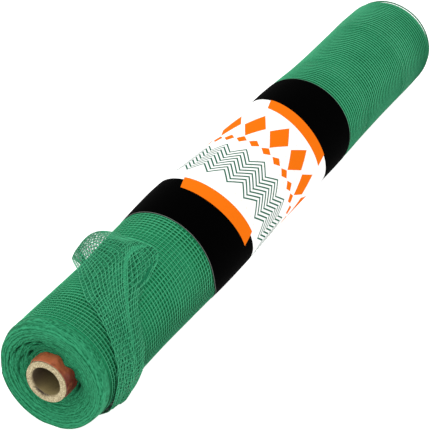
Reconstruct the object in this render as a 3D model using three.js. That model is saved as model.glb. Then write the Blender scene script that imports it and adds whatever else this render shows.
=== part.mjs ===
// Safety netting roll: knitted mesh net, folded once and wound on a cardboard tube, held by a printed
// sleeve. The last turn has come slack near one end and stands off the roll in a loop.
// Millimetres, +Z up. The roll lies along X on its flat spot, with the open end of the tube towards -X.
// The origin is on the floor under the middle of the roll. Angles go round the roll from +Y towards +Z.
import * as THREE from 'three';

// Driving dimensions
const NET_LENGTH = 1295; // the 2.59 m wide net, folded once
const FLAT_DEPTH = 1.5; // how far the floor cuts into each round section
const CLEARANCE = 0.3; // gap between neighbouring pieces
const SIDES = 48; // flat strips round each round piece

const TUBE_RADIUS = 38;
const TUBE_BORE_RADIUS = 26;
const TUBE_BEVEL = 1;
const TUBE_OVERHANG = 8; // how far the tube stands out past the rims
const TUBE_Y = 2.5; // the tube has sunk a little off the middle of the net
const TUBE_Z = 91.6;

const SLEEVE_START = 358; // from the near end
const SLEEVE_END = 906;
const SLEEVE_THICKNESS = 0.8;
const SLEEVE_LAP = { from: 298, to: 324, height: 0.8 }; // glued lap, low on the back

// Round sections of the wound net, from the near end to the far one
const SECTIONS = [
  { at: 0, radius: 93 },
  { at: 5, radius: 96.5 },
  { at: 15, radius: 98.5 },
  { at: 40, radius: 97 },
  { at: 205, radius: 97 },
  { at: 335, radius: 99.5 },
  { at: 465, radius: 101.5 },
  { at: 650, radius: 97.5 },
  { at: 840, radius: 97 },
  { at: 1035, radius: 94 },
  { at: 1205, radius: 94 },
  { at: 1280, radius: 93 },
  { at: 1290, radius: 91.5 },
  { at: NET_LENGTH, radius: 89 },
];

// Tight ridges that the turns form round the near end
const RIDGES = { from: 24, to: 96, pitch: 14.4, depth: 1.8 };

// The wound net's outer end shows as a low step along the back
const NET_LAP = { angle: 350, height: 1.6 };

// Slow unevenness of the wound net
const SWELL = { height: 0.9, wave: 430, lobes: 2, fade: 60 };

// Dished ends, with the layers' edges as a few coarse spiral ridges
const NEAR_FACE = { depth: 20, power: 1.4, rings: 13, turns: 3, ridge: 1.6 };
const FAR_FACE = { depth: 14, power: 1.4, rings: 9, turns: 2, ridge: 1.4 };
const SLACK_POCKET = { angle: 45, spread: 34, share: 0.62, width: 0.2, depth: 7 };
const CORE_POCKET = { angle: 172, spread: 42, depth: 7 };

// Red-brown wrap round the bare end of the tube, with lumps where it is crumpled
const WRAP = { front: 1, backGap: 3.4, thickness: 1.8, rings: 6, fullAt: 0.6 };
const WRAP_LUMPS = [
  { angle: 154, spread: 17, height: 3.4 },
  { angle: 98, spread: 12, height: 1.5 },
  { angle: 230, spread: 20, height: 1.2 },
  { angle: 20, spread: 16, height: 0.9 },
];

// Slack end of the net: where its two edges and its main crease run, and how far it stands off the roll
const FLAP = [
  { angle: 0, near: 234, crease: 268, far: 325, edgeLift: 0, creaseLift: 0, pleat: 0 },
  { angle: 14, near: 232, crease: 266, far: 325, edgeLift: 3, creaseLift: 8, pleat: 0 },
  { angle: 28, near: 226, crease: 264, far: 324, edgeLift: 9, creaseLift: 21, pleat: 0.5 },
  { angle: 42, near: 208, crease: 260, far: 318, edgeLift: 13, creaseLift: 26, pleat: 1 },
  { angle: 56, near: 178, crease: 256, far: 299, edgeLift: 9, creaseLift: 14, pleat: 1 },
  { angle: 66, near: 158, crease: 255, far: 285, edgeLift: 5, creaseLift: 9, pleat: 1 },
  { angle: 76, near: 125, crease: 254, far: 277, edgeLift: 3.5, creaseLift: 7, pleat: 1 },
  { angle: 88, near: 99, crease: 252, far: 273, edgeLift: 2.5, creaseLift: 6, pleat: 1 },
  { angle: 100, near: 93, crease: 213, far: 276, edgeLift: 2.5, creaseLift: 8, pleat: 1.2 },
  { angle: 112, near: 85, crease: 176, far: 279, edgeLift: 3, creaseLift: 8, pleat: 1.5 },
  { angle: 120, near: 78, crease: 158, far: 250, edgeLift: 3, creaseLift: 8, pleat: 2 },
  { angle: 128, near: 72, crease: 145, far: 205, edgeLift: 3.5, creaseLift: 8, pleat: 2 },
  { angle: 138, near: 64, crease: 127, far: 172, edgeLift: 4, creaseLift: 8, pleat: 2 },
  { angle: 150, near: 54, crease: 113, far: 156, edgeLift: 4.5, creaseLift: 8, pleat: 2 },
  { angle: 165, near: 46, crease: 100, far: 148, edgeLift: 5, creaseLift: 8.5, pleat: 2 },
  { angle: 180, near: 39, crease: 91, far: 146, edgeLift: 5, creaseLift: 9, pleat: 2 },
  { angle: 196, near: 36, crease: 86, far: 148, edgeLift: 5, creaseLift: 10, pleat: 2 },
  { angle: 210, near: 38, crease: 84, far: 150, edgeLift: 5, creaseLift: 10.5, pleat: 2 },
  { angle: 223, near: 41, crease: 83, far: 148, edgeLift: 4, creaseLift: 8, pleat: 1.5 },
  { angle: 236, near: 42, crease: 83, far: 146, edgeLift: 1, creaseLift: 2, pleat: 0 },
];
const FLAP_THICKNESS = 1.6;
const FLAP_SEAT = 1.4; // middle of the cloth above the net where it lies on it
const FLAP_ROWS = 27; // cells cut through, at twice the real pitch of the net
const FLAP_COLUMNS = 11;
const STRAND_SHARE = 0.2; // strand width over the cell pitch
const CREASE_SHARE = 0.62; // where the crease runs across the cloth
const PLEATS = 3;

const RAD = Math.PI / 180;
const TURN = 360;

function smoothstep(t) {
  return t * t * (3 - 2 * t);
}

// Value of one named column of a table at a place, eased between the rows
function fromTable(table, key, column, place) {
  const last = table.length - 1;
  const found = table.findIndex((row) => row[key] >= place);
  const upper = found < 0 ? last : Math.max(found, 1);
  const a = table[upper - 1];
  const b = table[upper];
  const share = THREE.MathUtils.clamp((place - a[key]) / (b[key] - a[key]), 0, 1);
  return THREE.MathUtils.lerp(a[column], b[column], smoothstep(share));
}

// Soft bump of height 1 round one angle
function bumpAt(angle, centre, spread) {
  const away = ((angle - centre + TURN * 1.5) % TURN) - TURN / 2;
  return Math.exp(-((away / spread) ** 2));
}

// Even steps from one place to another, without the last one
function evenSteps(from, to, longest) {
  const count = Math.ceil((to - from) / longest);
  return Array.from({ length: count }, (_, i) => from + ((to - from) * i) / count);
}

// Places along the roll where its section is made. Close to the sleeve's two edges the floor line rises
// in a short step, so that the net clears the sleeve's underside.
const STEP_OUT = 0.9;
const STEP_IN = 0.5;
const NET_STEP = 48;
const SLEEVE_STEP = 92;
const NEAR_SHOULDER = SECTIONS.map((row) => row.at).filter((at) => at < RIDGES.from);
const FAR_SHOULDER = SECTIONS.map((row) => row.at).filter((at) => at > NET_LENGTH - RIDGES.from);
const STATIONS = [
  ...NEAR_SHOULDER,
  ...evenSteps(RIDGES.from, RIDGES.to, RIDGES.pitch / 2),
  ...evenSteps(RIDGES.to, SLEEVE_START - STEP_OUT, NET_STEP),
  SLEEVE_START - STEP_OUT,
  SLEEVE_START - STEP_IN,
  ...evenSteps(SLEEVE_START, SLEEVE_END, SLEEVE_STEP),
  SLEEVE_END,
  SLEEVE_END + STEP_IN,
  ...evenSteps(SLEEVE_END + STEP_OUT, FAR_SHOULDER[0], NET_STEP),
  ...FAR_SHOULDER,
];

// Height of the flat under the net: raised where the sleeve passes beneath it
function floorUnder(at) {
  const underSleeve = at >= SLEEVE_START - STEP_IN && at <= SLEEVE_END + STEP_IN;
  return underSleeve ? SLEEVE_THICKNESS + CLEARANCE : 0;
}

function sectionRadius(at) {
  return fromTable(SECTIONS, 'at', 'radius', at);
}

function sectionHeight(at) {
  return sectionRadius(at) - FLAT_DEPTH;
}

// Radius of the wound net at one of its stations
function stationRadius(at, angle) {
  const inRidges = at > RIDGES.from && at < RIDGES.to;
  const wave = (0.5 - 0.5 * Math.cos(((at - RIDGES.from) / RIDGES.pitch) * TURN * RAD)) * RIDGES.depth;
  const lapShare = ((angle - NET_LAP.angle + TURN) % TURN) / TURN;
  const lap = NET_LAP.height * (lapShare - 0.5);
  const inside = Math.min(1, at / SWELL.fade, (NET_LENGTH - at) / SWELL.fade);
  const swell = SWELL.height * Math.sin((at / SWELL.wave) * TURN * RAD + angle * RAD * SWELL.lobes);
  return sectionRadius(at) + lap + swell * inside - (inRidges ? wave : 0);
}

// A value of the net between its stations, where its surface runs straight
function betweenStations(at, valueAt) {
  const found = STATIONS.findIndex((station) => station >= at);
  const upper = Math.max(found, 1);
  const a = STATIONS[upper - 1];
  const b = STATIONS[upper];
  return THREE.MathUtils.lerp(valueAt(a), valueAt(b), (at - a) / (b - a));
}

function angles() {
  return Array.from({ length: SIDES }, (_, j) => (TURN * j) / SIDES);
}

// Ring of points round the roll at one place, standing off the net and cut flat at the bottom
function netRing(at, standOff, floor) {
  return angles().map((angle) => {
    const radius = stationRadius(at, angle) + standOff(angle);
    const y = radius * Math.cos(angle * RAD);
    const z = sectionHeight(at) + radius * Math.sin(angle * RAD);
    return new THREE.Vector3(at - NET_LENGTH / 2, y, Math.max(z, floor));
  });
}

// Ring of points round the tube's axis, each with its own radius and place
function tubeRing(radiusAt, placeAt) {
  return angles().map((angle) => {
    const radius = radiusAt(angle);
    const y = TUBE_Y + radius * Math.cos(angle * RAD);
    return new THREE.Vector3(placeAt(angle) - NET_LENGTH / 2, y, TUBE_Z + radius * Math.sin(angle * RAD));
  });
}

// Closed body with a hole through it, from rings that go outside, over one end, inside and back. Walls
// that run back towards -X take the other diagonal, so that they stay parallel to those that run out.
function ringBody(rings) {
  const points = rings.flat();
  const index = [];
  rings.forEach((ring, k) => {
    const following = (k + 1) % rings.length;
    const here = k * SIDES;
    const next = following * SIDES;
    const runsBack = rings[following][0].x < ring[0].x;
    for (let j = 0; j < SIDES; j += 1) {
      const turn = (j + 1) % SIDES;
      if (runsBack) {
        index.push(here + j, here + turn, next + turn);
        index.push(here + j, next + turn, next + j);
      } else {
        index.push(here + j, here + turn, next + j);
        index.push(here + turn, next + turn, next + j);
      }
    }
  });
  const geometry = new THREE.BufferGeometry().setFromPoints(points);
  geometry.setIndex(index);
  geometry.computeVertexNormals();
  return geometry;
}

// Depth of the near end's dish at the tube
function nearDishDepth(angle) {
  return NEAR_FACE.depth + CORE_POCKET.depth * bumpAt(angle, CORE_POCKET.angle, CORE_POCKET.spread);
}

// Rings of a dished end from the rim in to the tube, with spiral ridges that fade at both edges
function faceRings(face, rim, depthAt, end, inwards) {
  const bore = tubeRing(() => TUBE_RADIUS + CLEARANCE, () => end);
  const rings = [];
  for (let k = 1; k <= face.rings; k += 1) {
    const share = k / face.rings;
    const fade = Math.sin(share * Math.PI);
    const ring = angles().map((angle, j) => {
      const point = rim[j].clone().lerp(bore[j], share);
      const wave = Math.sin((share * face.turns + angle / TURN) * TURN * RAD);
      const pocket =
        SLACK_POCKET.depth *
        bumpAt(angle, SLACK_POCKET.angle, SLACK_POCKET.spread) *
        Math.exp(-(((share - SLACK_POCKET.share) / SLACK_POCKET.width) ** 2));
      const slack = face === NEAR_FACE ? pocket * fade : 0;
      const depth = depthAt(angle) * share ** face.power + face.ridge * wave * fade + slack;
      point.x = end - NET_LENGTH / 2 + inwards * depth;
      return point;
    });
    rings.push(ring);
  }
  return rings;
}

function netRoll() {
  const outer = STATIONS.map((at) => netRing(at, () => 0, floorUnder(at)));
  const far = faceRings(FAR_FACE, outer[outer.length - 1], () => FAR_FACE.depth, NET_LENGTH, -1);
  const near = faceRings(NEAR_FACE, outer[0], nearDishDepth, 0, 1);
  return ringBody([...outer, ...far, ...near.reverse()]);
}

function coreTube() {
  const near = -TUBE_OVERHANG;
  const far = NET_LENGTH + TUBE_OVERHANG;
  const edge = TUBE_RADIUS - TUBE_BEVEL;
  const sides = [near + TUBE_BEVEL, far - TUBE_BEVEL];
  const outside = sides.map((at) => tubeRing(() => TUBE_RADIUS, () => at));
  const farEnd = [edge, TUBE_BORE_RADIUS].map((radius) => tubeRing(() => radius, () => far));
  const nearEnd = [TUBE_BORE_RADIUS, edge].map((radius) => tubeRing(() => radius, () => near));
  return ringBody([...outside, ...farEnd, ...nearEnd]);
}

// The wrap follows the tube from just behind its end to just in front of the dished net
function coreWrap() {
  const inner = TUBE_RADIUS + CLEARANCE;
  const front = WRAP.front - TUBE_OVERHANG;
  const backAt = (angle) => nearDishDepth(angle) - WRAP.backGap;
  const lumpsAt = (angle) =>
    WRAP_LUMPS.reduce((sum, lump) => sum + lump.height * bumpAt(angle, lump.angle, lump.spread), 0);
  const outer = [];
  for (let k = 0; k < WRAP.rings; k += 1) {
    const share = k / (WRAP.rings - 1);
    const placeAt = (angle) => THREE.MathUtils.lerp(front, backAt(angle), share);
    const swelling = smoothstep(Math.min(1, share / WRAP.fullAt));
    outer.push(tubeRing((angle) => inner + WRAP.thickness + lumpsAt(angle) * swelling, placeAt));
  }
  const back = tubeRing(() => inner, backAt);
  const mouth = tubeRing(() => inner, () => front);
  return ringBody([...outer, back, mouth]);
}

function labelBand() {
  const places = STATIONS.filter((at) => at >= SLEEVE_START && at <= SLEEVE_END);
  const inside = () => CLEARANCE;
  const onLap = (angle) => angle > SLEEVE_LAP.from && angle < SLEEVE_LAP.to;
  const outside = (angle) => CLEARANCE + SLEEVE_THICKNESS + (onLap(angle) ? SLEEVE_LAP.height : 0);
  const outer = places.map((at) => netRing(at, outside, 0));
  const inner = places.map((at) => netRing(at, inside, SLEEVE_THICKNESS));
  return ringBody([...outer, ...inner.reverse()]);
}

// Middle of the slack cloth: along runs round the roll, across from its near edge to its far edge
function flapPoint(along, across, offset) {
  const first = FLAP[0].angle;
  const angle = first + (FLAP[FLAP.length - 1].angle - first) * along;
  const at = (column) => fromTable(FLAP, 'angle', column, angle);
  const nearSide = across < CREASE_SHARE;
  const share = nearSide ? across / CREASE_SHARE : (across - CREASE_SHARE) / (1 - CREASE_SHARE);
  const place = nearSide
    ? THREE.MathUtils.lerp(at('near'), at('crease'), share)
    : THREE.MathUtils.lerp(at('crease'), at('far'), share);
  const rise = nearSide ? smoothstep(share) : smoothstep(1 - share);
  const lift = THREE.MathUtils.lerp(nearSide ? at('edgeLift') : 0, at('creaseLift'), rise);
  const fold = Math.sin(across * PLEATS * Math.PI) ** 2 * Math.sin(across * Math.PI);
  const standOff = FLAP_SEAT + lift + at('pleat') * fold + offset;
  const radius = standOff + betweenStations(place, (station) => stationRadius(station, angle));
  const z = betweenStations(place, sectionHeight) + radius * Math.sin(angle * RAD);
  return new THREE.Vector3(place - NET_LENGTH / 2, radius * Math.cos(angle * RAD), z);
}

// Lines of a net at both sides of each strand, as shares from 0 to 1
function strandLines(cells) {
  const whole = cells + STRAND_SHARE;
  const lines = [];
  for (let i = 0; i <= cells; i += 1) {
    lines.push(i / whole, (i + STRAND_SHARE) / whole);
  }
  return lines;
}

// Sheet of two skins with square holes cut through it, one in each cell
function looseEnd() {
  const rows = strandLines(FLAP_ROWS);
  const columns = strandLines(FLAP_COLUMNS);
  const half = FLAP_THICKNESS / 2;
  const points = [];
  [half, -half].forEach((offset) => {
    rows.forEach((along) => columns.forEach((across) => points.push(flapPoint(along, across, offset))));
  });
  const skin = rows.length * columns.length;
  const vertex = (i, j) => i * columns.length + j;
  const isHole = (i, j) => i % 2 === 1 && j % 2 === 1;
  const isCloth = (i, j) =>
    i >= 0 && j >= 0 && i < rows.length - 1 && j < columns.length - 1 && !isHole(i, j);
  const index = [];
  const wall = (a, b) => index.push(a, a + skin, b, b, a + skin, b + skin);
  for (let i = 0; i < rows.length - 1; i += 1) {
    for (let j = 0; j < columns.length - 1; j += 1) {
      if (isCloth(i, j)) {
        const [a, b, c, d] = [vertex(i, j), vertex(i, j + 1), vertex(i + 1, j), vertex(i + 1, j + 1)];
        index.push(a, c, b, b, c, d);
        index.push(a + skin, b + skin, c + skin, b + skin, d + skin, c + skin);
        if (!isCloth(i - 1, j)) wall(b, a);
        if (!isCloth(i + 1, j)) wall(c, d);
        if (!isCloth(i, j - 1)) wall(a, c);
        if (!isCloth(i, j + 1)) wall(d, b);
      }
    }
  }
  const geometry = new THREE.BufferGeometry().setFromPoints(points);
  geometry.setIndex(index);
  geometry.computeVertexNormals();
  return geometry;
}

const MATERIALS = {
  net: { color: 0x1f7f50, roughness: 0.75, metalness: 0 },
  slackNet: { color: 0x2f9462, roughness: 0.75, metalness: 0 },
  cardboard: { color: 0xc0a878, roughness: 0.9, metalness: 0 },
  redBrown: { color: 0xa8482c, roughness: 0.6, metalness: 0 },
  print: { color: 0xe8e4dc, roughness: 0.45, metalness: 0 },
};

function piece(name, geometry, finish) {
  const mesh = new THREE.Mesh(geometry, new THREE.MeshStandardMaterial(MATERIALS[finish]));
  mesh.name = name;
  return mesh;
}

const roll = new THREE.Group();
roll.add(piece('net_roll', netRoll(), 'net'));
roll.add(piece('core_tube', coreTube(), 'cardboard'));
roll.add(piece('core_wrap', coreWrap(), 'redBrown'));
roll.add(piece('label_band', labelBand(), 'print'));
roll.add(piece('loose_end', looseEnd(), 'slackNet'));

export default roll;
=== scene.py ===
import math

import bpy
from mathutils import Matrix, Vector, noise


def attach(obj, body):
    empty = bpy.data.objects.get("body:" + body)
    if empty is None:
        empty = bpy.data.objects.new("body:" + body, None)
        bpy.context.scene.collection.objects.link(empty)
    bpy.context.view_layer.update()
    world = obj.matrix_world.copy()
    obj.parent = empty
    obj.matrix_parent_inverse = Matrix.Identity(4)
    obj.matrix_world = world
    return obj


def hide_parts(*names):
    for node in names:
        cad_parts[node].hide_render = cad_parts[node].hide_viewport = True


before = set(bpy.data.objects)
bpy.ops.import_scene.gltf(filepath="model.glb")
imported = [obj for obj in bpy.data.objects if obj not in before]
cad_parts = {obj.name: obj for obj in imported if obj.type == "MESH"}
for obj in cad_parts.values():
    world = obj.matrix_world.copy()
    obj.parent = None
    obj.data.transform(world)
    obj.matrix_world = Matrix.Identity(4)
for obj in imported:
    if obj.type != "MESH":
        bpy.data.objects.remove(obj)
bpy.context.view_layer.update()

# Camera, floor and studio light
# The roll is seen from above, over the corner of its near end, through a long lens.
# It lies on a plain white floor that glows like a light table, so that it shows hardly any shadow,
# under a wide soft light with a bright room round it.

VIEW_AZIMUTH, VIEW_ELEVATION = math.radians(-61.5875), math.radians(32.7601)
CAMERA_PLACE = (-2.7475, -1.4334, 2.0279)
SENSOR_WIDTH = 36.0
LENS = 168.3

camera_data = bpy.data.cameras.new("camera")
camera_data.sensor_fit = "HORIZONTAL"
camera_data.sensor_width = SENSOR_WIDTH
camera_data.lens = LENS
camera_data.clip_start, camera_data.clip_end = 0.1, 100.0
camera = bpy.data.objects.new("camera", camera_data)
back = Vector((
    math.sin(VIEW_AZIMUTH) * math.cos(VIEW_ELEVATION),
    -math.cos(VIEW_AZIMUTH) * math.cos(VIEW_ELEVATION),
    math.sin(VIEW_ELEVATION),
))
camera.location = CAMERA_PLACE
camera.rotation_mode = "QUATERNION"
camera.rotation_quaternion = (-back).to_track_quat("-Z", "Y")
bpy.context.scene.collection.objects.link(camera)
bpy.context.scene.camera = camera
bpy.context.scene.view_settings.view_transform = "Standard"


class Signal:
    """One socket of a material. Arithmetic on it adds the material's Math nodes."""

    def __init__(self, finish, socket):
        self.finish, self.socket = finish, socket

    def maths(self, operation, *others):
        return self.finish.node("Math", {"operation": operation}, {0: self, **dict(enumerate(others, 1))})

    def after(self, operation, first):
        return self.finish.node("Math", {"operation": operation}, {0: first, 1: self})

    def __add__(self, other):
        return self.maths("ADD", other)

    def __radd__(self, other):
        return self.after("ADD", other)

    def __sub__(self, other):
        return self.maths("SUBTRACT", other)

    def __rsub__(self, other):
        return self.after("SUBTRACT", other)

    def __mul__(self, other):
        return self.maths("MULTIPLY", other)

    def __rmul__(self, other):
        return self.after("MULTIPLY", other)

    def __truediv__(self, other):
        return self.maths("DIVIDE", other)

    def larger(self, other):
        return self.maths("MAXIMUM", other)

    def ease(self, low, high):
        """0 up to low, 1 from high on, a smooth rise between; the other way round where low is over high."""
        return self.finish.node(
            "MapRange", {"interpolation_type": "SMOOTHSTEP"},
            {"Value": self, "From Min": low, "From Max": high, "To Min": 0.0, "To Max": 1.0},
        )

    def lines(self, pitch, width):
        """1 on lines of that width that lie a pitch apart, and 0 between them."""
        return self.maths("PINGPONG", pitch / 2).ease(width * 0.7, width * 0.3)


class Finish:
    """A material, written one node at a time."""

    def __init__(self, name):
        self.material = bpy.data.materials.new(name)
        self.material.use_nodes = True
        self.tree = self.material.node_tree
        self.tree.nodes.clear()

    def node(self, kind, settings=None, sockets=None, out=0):
        """Adds a node of that kind, with its settings first and then the values or signals of its sockets."""
        made = self.tree.nodes.new("ShaderNode" + kind)
        for name, value in (settings or {}).items():
            setattr(made, name, value)
        for name, value in (sockets or {}).items():
            socket = made.inputs[name]
            if isinstance(value, Signal):
                self.tree.links.new(value.socket, socket)
            elif isinstance(value, tuple) and socket.type == "RGBA":
                socket.default_value = (*value, 1.0)
            else:
                socket.default_value = value
        return Signal(self, made.outputs[out]) if made.outputs else made

    def object_place(self):
        return self.node("TexCoord", out=3)

    def split(self, vector):
        made = self.node("SeparateXYZ", None, {"Vector": vector}).socket.node
        return [Signal(self, output) for output in made.outputs]

    def join(self, x, y, z):
        return self.node("CombineXYZ", None, {"X": x, "Y": y, "Z": z})

    def attribute(self, name):
        return self.node("Attribute", {"attribute_name": name}, out=2)

    def mottle(self, place, scale, detail=2.0, roughness=0.5):
        """Noise from 0 to 1, with that many features a metre."""
        return self.node("TexNoise", None, {
            "Vector": place, "Scale": scale, "Detail": detail, "Roughness": roughness})

    def mix(self, share, first, second):
        """From the first colour at 0 to the second at 1."""
        return self.node("Mix", {"data_type": "RGBA"}, {0: share, 6: first, 7: second}, out=2)

    def bump(self, height, distance, strength=1.0):
        return self.node("Bump", None, {"Height": height, "Distance": distance, "Strength": strength})

    def surface(self, colour, **sockets):
        shader = self.node("BsdfPrincipled", None, {"Base Color": colour, **{
            name.replace("_", " ").title().replace("Ior", "IOR"): value for name, value in sockets.items()}})
        self.node("OutputMaterial", None, {"Surface": shader})
        return self.material


def add_object(name, data, finish):
    made = bpy.data.objects.new(name, data)
    bpy.context.scene.collection.objects.link(made)
    data.materials.append(finish)
    return made


def floor_finish():
    paint = Finish("white_floor")
    cloud = paint.mottle(paint.object_place(), 0.8)
    white = paint.mix(cloud, (0.36, 0.36, 0.36), (0.39, 0.39, 0.39))
    return paint.surface(white, roughness=0.9, emission_color=(0.9, 0.9, 0.9), emission_strength=1.0)


FLOOR_HALF = 40.0
floor_mesh = bpy.data.meshes.new("floor")
floor_mesh.from_pydata(
    [(x * FLOOR_HALF, y * FLOOR_HALF, 0) for x, y in ((-1, -1), (1, -1), (1, 1), (-1, 1))],
    [], [(0, 1, 2, 3)],
)
floor = add_object("floor", floor_mesh, floor_finish())

room = bpy.data.worlds.new("bright_room")
bpy.context.scene.world = room
room.use_nodes = True
ROOM_STRENGTH = 1.22
room.node_tree.nodes["Background"].inputs["Color"].default_value = (1.0, 1.0, 1.0, 1.0)
room.node_tree.nodes["Background"].inputs["Strength"].default_value = ROOM_STRENGTH

LIGHTS = (  # name, place, width, power in watts
    ("key_light", (-0.9, 2.2, 3.4), 3.0, 62.0),
    ("front_light", (-3.4, -2.2, 2.2), 2.6, 26.0),
)
LIT_POINT = Vector((0, 0, 0.1))
for name, place, width, power in LIGHTS:
    light = bpy.data.lights.new(name, "AREA")
    light.size = width
    light.energy = power
    lamp = bpy.data.objects.new(name, light)
    lamp.location = place
    lamp.rotation_mode = "QUATERNION"
    lamp.rotation_quaternion = (LIT_POINT - Vector(place)).to_track_quat("-Z", "Y")
    bpy.context.scene.collection.objects.link(lamp)


# Cardboard tube
# The net is wound on a thick cardboard tube, glued up from spiral plies and sawn off at each end.
# The saw leaves a rough, speckled face, and has torn a chip out of the bore's edge at the near end.

MM = 0.001
NET_LENGTH = 1295
TUBE_Y, TUBE_Z = 2.5, 91.6
TUBE_RADIUS, TUBE_BORE_RADIUS = 38, 26
TUBE_OVERHANG = 8
TUBE_SIDES = 144
TUBE_BEVEL = 0.8
CUT_RINGS = 9
CUT_ROUGHNESS = 0.45
CHIP_ANGLE, CHIP_SPREAD, CHIP_DEPTH, CHIP_WIDTH = 294, 22, 5.0, 4.2
WORN_EDGE = 1.1
DENT_ANGLE, DENT_SPREAD, DENT_DEPTH = 8, 42, 1.9


def bump_at(angle, centre, spread):
    """Soft bump of height 1 round one angle, in degrees."""
    away = (angle - centre + 540) % 360 - 180
    return math.exp(-((away / spread) ** 2))


def ripple(x, y, z, size):
    """Smooth noise from about -1 to 1 at a place in millimetres, with features of that size."""
    return noise.noise(Vector((x, y, z)) / size)


def tube_point(at, angle, radius):
    """A point round the tube's axis; at is the distance from the net's near end. All are in millimetres."""
    turn = math.radians(angle)
    y, z = TUBE_Y + radius * math.cos(turn), TUBE_Z + radius * math.sin(turn)
    return ((at - NET_LENGTH / 2) * MM, y * MM, z * MM)


def closed_rings(name, rings, finish, marks=None):
    """A smooth mesh through rings that go outside, over one end, inside and back to the first ring."""
    sides = len(rings[0])
    corners = [corner for ring in rings for corner in ring]
    faces = []
    for k in range(len(rings)):
        here, following = k * sides, (k + 1) % len(rings) * sides
        for j in range(sides):
            turn = (j + 1) % sides
            faces.append((here + j, here + turn, following + turn, following + j))
    mesh = bpy.data.meshes.new(name)
    mesh.from_pydata(corners, [], faces)
    mesh.shade_smooth()
    for mark, values in (marks or {}).items():
        mesh.attributes.new(mark, "FLOAT", "POINT").data.foreach_set("value", values)
    return add_object(name, mesh, finish)


def cardboard_finish():
    paint = Finish("cardboard")
    place = paint.object_place()
    x, y, z = paint.split(place)
    cut, torn = paint.attribute("cut"), paint.attribute("torn")
    fibres = paint.mottle(place, 520, 4, 0.7)
    flecks = paint.mottle(place, 260, 2).ease(0.56, 0.66)
    across = (y - TUBE_Y * MM).maths("POWER", 2) + (z - TUBE_Z * MM).maths("POWER", 2)
    plies = across.maths("SQRT").lines(0.0019, 0.0007)
    turn = (z - TUBE_Z * MM).maths("ARCTAN2", y - TUBE_Y * MM)
    seam = (x + turn * 0.0165).lines(0.104, 0.0016)
    # Painted shade: the tube's paper is painted darker towards its upper side on +y and lighter towards its
    # lower side on -y, as light from above leaves the bore's upper wall in shade.
    lit = ((y - TUBE_Y * MM) * 0.81 + (z - TUBE_Z * MM) * 0.59).ease(0.020, -0.014)
    dark_paper_painted_shade = paint.mix(lit, (0.030, 0.017, 0.007), (0.13, 0.100, 0.037))
    pale_paper_painted_shade = paint.mix(lit, (0.070, 0.045, 0.018), (0.29, 0.225, 0.090))
    paper = paint.mix(fibres, dark_paper_painted_shade, pale_paper_painted_shade)
    paper = paint.mix(seam * 0.6, paper, (0.08, 0.055, 0.02))
    sawn = paint.mix(fibres.ease(0.3, 0.7), (0.18, 0.130, 0.062), (0.66, 0.575, 0.36))
    sawn = paint.mix(plies * 0.35, sawn, (0.22, 0.16, 0.08))
    sawn = paint.mix(flecks * 0.7, sawn, (0.16, 0.11, 0.05))
    colour = paint.mix(torn, paint.mix(cut, paper, sawn), (0.035, 0.022, 0.012))
    normal = paint.bump(fibres + plies * 0.5, 0.0006, 0.6)
    return paint.surface(colour, roughness=0.92, normal=normal)


def tube_rings():
    """Rings along the tube's outside, over the far cut, back through the bore and over the near cut."""
    near, far = -TUBE_OVERHANG, NET_LENGTH + TUBE_OVERHANG
    angles = [360 * j / TUBE_SIDES for j in range(TUBE_SIDES)]
    rings, cut, torn = [], [], []

    def add(place_at, radius_at, cut_here, torn_at=lambda angle: 0.0):
        rings.append([tube_point(place_at(a), a, radius_at(a)) for a in angles])
        cut.extend([cut_here] * TUBE_SIDES)
        torn.extend(torn_at(a) for a in angles)

    def dent(angle):
        return DENT_DEPTH * bump_at(angle, DENT_ANGLE, DENT_SPREAD)

    def cut_face(end, inwards, order, chipped):
        for k in order:
            share = k / (CUT_RINGS - 1)
            bore = TUBE_BORE_RADIUS + (WORN_EDGE if chipped else 0)
            radius = bore + (TUBE_RADIUS - TUBE_BEVEL - bore) * share

            def chip(a, radius=radius):
                if not chipped:
                    return 0.0
                ragged = 1 + 0.45 * ripple(a, radius * 3, end, 7) + 0.55 * ripple(a, radius, end, 3)
                fading = max(0, 1 - (radius - TUBE_BORE_RADIUS) / (CHIP_WIDTH * ragged))
                return bump_at(a, CHIP_ANGLE, CHIP_SPREAD * ragged) * fading

            def place(a, radius=radius):
                y, z = radius * math.cos(math.radians(a)), radius * math.sin(math.radians(a))
                rough = ripple(y, z, end, 1.6) * 0.5 + ripple(y, z, end, 5)
                return end + inwards * (CUT_ROUGHNESS * (1 + rough) + CHIP_DEPTH * chip(a) ** 0.7)

            def width(a, radius=radius, share=share):
                return radius - (dent(a) * share if chipped else 0.0) + 0.25 * ripple(a, radius, end, 9)

            add(place, width, 1.0, lambda a: min(1.0, chip(a) * 3.2))

    add(lambda a: near + TUBE_BEVEL, lambda a: TUBE_RADIUS - dent(a), 0.5)
    for share in (0.02, 0.25, 0.5, 0.75, 0.98):
        add(lambda a, share=share: near + (far - near) * share, lambda a: TUBE_RADIUS, 0.0)
    add(lambda a: far - TUBE_BEVEL, lambda a: TUBE_RADIUS, 0.5)
    cut_face(far, -1, range(CUT_RINGS - 1, -1, -1), False)
    for share in (0.996, 0.98, 0.75, 0.5, 0.25, 0.02, 0.004):
        add(lambda a, share=share: near + (far - near) * share, lambda a: TUBE_BORE_RADIUS, 0.0)
    cut_face(near, 1, range(CUT_RINGS), True)
    return rings, {"cut": cut, "torn": torn}


rings, marks = tube_rings()
core_tube = closed_rings("cardboard_tube", rings, cardboard_finish(), marks)
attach(core_tube, "root")
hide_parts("core_tube")


# Red-brown paper on the tube
# A sheet of red-brown paper is wrapped round the tube under the net, and its crumpled edge
# shows at the near end, with painted light on top and painted shade where it bulges at the side.

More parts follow.
